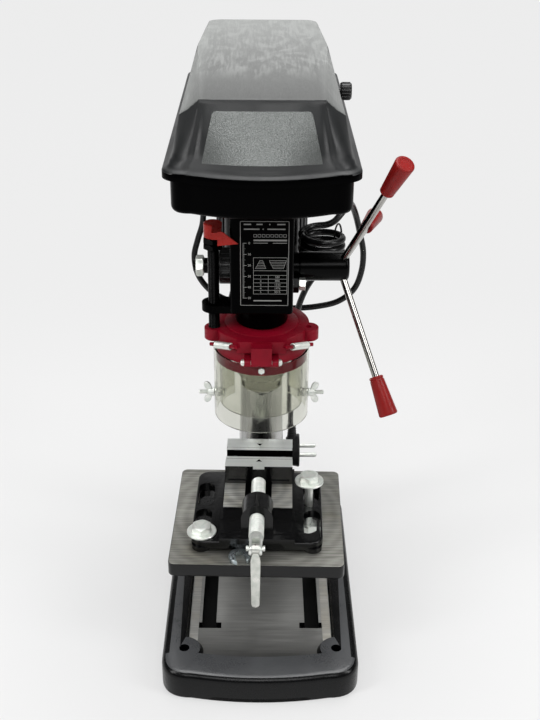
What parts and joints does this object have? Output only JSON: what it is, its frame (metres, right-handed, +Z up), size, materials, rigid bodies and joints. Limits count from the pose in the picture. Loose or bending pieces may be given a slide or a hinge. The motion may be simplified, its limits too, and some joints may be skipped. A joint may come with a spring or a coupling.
{
  "type": "benchtop drill press",
  "caption": "Bench drill with belt drive in a hinged cover, hand-fed quill, key chuck, clear hinged guard, lifting tilting table, bolted-on machine vise and tied mains lead.",
  "frame": {"origin": "on the bench, straight below the spindle's axis", "axes": "+Z up along the spindle, -Y towards the operator, +X to the operator's right, where the feed handles are"},
  "size_m": [0.2146, 0.425, 0.5355],
  "materials": {
    "black_casting": "semi-gloss black enamel",
    "bright_steel": "ground",
    "machined_iron": "machined, lightly oiled",
    "zinc_steel": "zinc plated",
    "black_steel": "black oxide",
    "chrome_rod": "polished",
    "red_grip": "gloss red",
    "red_guard": "satin crimson",
    "clear_shell": "clear, slightly yellowed",
    "black_plastic": "gloss black",
    "cast_aluminium": "turned",
    "grey_paint": "dark grey enamel",
    "black_rubber": "matte"
  },
  "bodies": {
    "machine": {"base_casting": "black_casting", "column": "bright_steel", "head_casting": "black_casting", "return_spring_cap": "black_plastic", "quill_lock_bolt": "zinc_steel", "quill_lock_nut": "black_steel", "pulley_case": "black_plastic", "v_belt": "black_rubber"},
    "bracket": {"table_bracket": "black_casting", "table_tilt_bolt": "zinc_steel"},
    "table_lock": {"table_lock_lever": "black_steel"},
    "table": {"table_top": "machined_iron", "vise_body": "black_casting", "vise_fixed_jaw_plate": "black_steel", "vise_bolt_left": "zinc_steel", "vise_bolt_right": "zinc_steel"},
    "vise_jaw": {"vise_moving_jaw": "black_casting", "vise_moving_jaw_plate": "black_steel"},
    "vise_screw": {"vise_screw": "zinc_steel"},
    "vise_handle": {"vise_handle": "zinc_steel"},
    "quill": {"quill": "bright_steel", "quill_bearing_lower": "bright_steel", "quill_collar": "red_guard", "depth_rod": "black_steel", "depth_stop_nuts": "black_steel", "depth_pointer": "red_grip"},
    "spindle": {"spindle": "bright_steel", "chuck_body": "bright_steel"},
    "chuck_sleeve": {"chuck_sleeve": "bright_steel"},
    "jaw_1": {"chuck_jaw_1": "bright_steel"},
    "jaw_2": {"chuck_jaw_2": "bright_steel"},
    "jaw_3": {"chuck_jaw_3": "bright_steel"},
    "pulley": {"spindle_pulley": "cast_aluminium"},
    "guard": {"guard_band": "red_guard", "guard_hinge_pin": "zinc_steel", "guard_upper_shell": "clear_shell", "guard_spring_left": "zinc_steel", "guard_spring_right": "zinc_steel"},
    "guard_lower": {"guard_lower_shell": "clear_shell"},
    "wing_left": {"wing_screw_left": "zinc_steel"},
    "wing_right": {"wing_screw_right": "zinc_steel"},
    "feed": {"feed_shaft": "black_steel", "feed_arm_1": "chrome_rod", "feed_arm_2": "chrome_rod", "feed_arm_3": "chrome_rod", "feed_grip_1": "red_grip", "feed_grip_2": "red_grip", "feed_grip_3": "red_grip", "spring_cap_nut": "zinc_steel"},
    "cover": {"pulley_cover": "black_plastic"},
    "cover_knob": {"cover_knob": "black_plastic"},
    "motor": {"motor_body": "grey_paint", "switch_box": "black_plastic", "cord_loop": "black_rubber", "cord_hank": "black_rubber", "cord_tail": "black_rubber", "plug": "black_rubber"},
    "rotor": {"motor_shaft": "bright_steel", "motor_pulley": "cast_aluminium"},
    "switch": {"switch_rocker": "red_grip"}
  },
  "joints": [
    {"name": "quill_feed", "type": "slide", "parent": "machine", "child": "quill", "axis": [0, 0, 1], "range_m": [-0.05, 0], "stiffness_N_per_m": 400, "springref_m": 0.11},
    {"name": "feed_turn", "type": "hinge", "parent": "machine", "child": "feed", "pos_m": [0, 0.028, 0.362], "axis": [1, 0, 0], "range_deg": [0, 301.7]},
    {"name": "spindle_spin", "type": "hinge", "parent": "quill", "child": "spindle", "pos_m": [0, 0, 0.276], "axis": [0, 0, 1], "continuous": true},
    {"name": "pulley_spin", "type": "hinge", "parent": "machine", "child": "pulley", "pos_m": [0, 0, 0.49], "axis": [0, 0, 1], "continuous": true},
    {"name": "motor_spin", "type": "hinge", "parent": "motor", "child": "rotor", "pos_m": [0, 0.198, 0.49], "axis": [0, 0, 1], "continuous": true},
    {"name": "chuck_sleeve_turn", "type": "hinge", "parent": "spindle", "child": "chuck_sleeve", "pos_m": [0, 0, 0.278], "axis": [0, 0, 1], "range_deg": [0, 1080]},
    {"name": "jaw_slide_1", "type": "slide", "parent": "spindle", "child": "jaw_1", "axis": [0, -0.2756, 0.9613], "range_m": [0, 0.021]},
    {"name": "jaw_slide_2", "type": "slide", "parent": "spindle", "child": "jaw_2", "axis": [0.2387, 0.1378, 0.9613], "range_m": [0, 0.021]},
    {"name": "jaw_slide_3", "type": "slide", "parent": "spindle", "child": "jaw_3", "axis": [-0.2387, 0.1378, 0.9613], "range_m": [0, 0.021]},
    {"name": "guard_flip", "type": "hinge", "parent": "quill", "child": "guard", "pos_m": [0, -0.048, 0.3026], "axis": [1, 0, 0], "range_deg": [-95, 0], "deforming": ["guard_spring_left", "guard_spring_right"]},
    {"name": "guard_drop", "type": "slide", "parent": "guard", "child": "guard_lower", "axis": [0, 0, 1], "range_m": [-0.02, 0]},
    {"name": "wing_turn_left", "type": "hinge", "parent": "guard", "child": "wing_left", "pos_m": [-0.044, 0, 0.247], "axis": [1, 0, 0], "continuous": true},
    {"name": "wing_turn_right", "type": "hinge", "parent": "guard", "child": "wing_right", "pos_m": [0.044, 0, 0.247], "axis": [1, 0, 0], "continuous": true},
    {"name": "cover_open", "type": "hinge", "parent": "machine", "child": "cover", "pos_m": [-0.0785, 0, 0.4749], "axis": [0, -1, 0], "range_deg": [0, 100]},
    {"name": "cover_knob_turn", "type": "hinge", "parent": "cover", "child": "cover_knob", "pos_m": [0.07, 0.092, 0.505], "axis": [1, 0, 0], "continuous": true},
    {"name": "motor_tension", "type": "slide", "parent": "machine", "child": "motor", "axis": [0, 1, 0], "range_m": [-0.008, 0], "deforming": ["v_belt"]},
    {"name": "switch_rock", "type": "hinge", "parent": "motor", "child": "switch", "pos_m": [-0.0733, 0.198, 0.402], "axis": [0, 1, 0], "range_deg": [-10, 10]},
    {"name": "table_lift", "type": "slide", "parent": "machine", "child": "bracket", "axis": [0, 0, 1], "range_m": [0, 0.065]},
    {"name": "table_tilt", "type": "hinge", "parent": "bracket", "child": "table", "pos_m": [0, 0.104, 0.072], "axis": [0.0227, 0.9997, 0], "range_deg": [-45, 45]},
    {"name": "table_lock", "type": "hinge", "parent": "bracket", "child": "table_lock", "pos_m": [0.00098, 0.14699, 0.067], "axis": [0.9997, -0.0227, 0], "range_deg": [-60, 0]},
    {"name": "vise_jaw_slide", "type": "slide", "parent": "table", "child": "vise_jaw", "axis": [0.0227, 0.9997, 0], "range_m": [-0.036, 0.0117]},
    {"name": "vise_screw_turn", "type": "hinge", "parent": "vise_jaw", "child": "vise_screw", "pos_m": [0, 0.104, 0.14], "axis": [0.0227, 0.9997, 0], "range_deg": [-3241, 1054]},
    {"name": "vise_handle_fold", "type": "hinge", "parent": "vise_screw", "child": "vise_handle", "pos_m": [-0.00456, -0.09695, 0.14], "axis": [-0.9997, 0.0227, 0], "range_deg": [0, 180]}
  ],
  "couplings": [
    {"joint": "feed_turn", "follows": "quill_feed", "rad_per_m": -105.26},
    {"joint": "pulley_spin", "follows": "spindle_spin", "ratio": 1},
    {"joint": "motor_spin", "follows": "spindle_spin", "ratio": 1.05},
    {"joint": "jaw_slide_1", "follows": "chuck_sleeve_turn", "m_per_rad": 0.0011141},
    {"joint": "jaw_slide_2", "follows": "chuck_sleeve_turn", "m_per_rad": 0.0011141},
    {"joint": "jaw_slide_3", "follows": "chuck_sleeve_turn", "m_per_rad": 0.0011141},
    {"joint": "vise_screw_turn", "follows": "vise_jaw_slide", "rad_per_m": 1570.8}
  ]
}
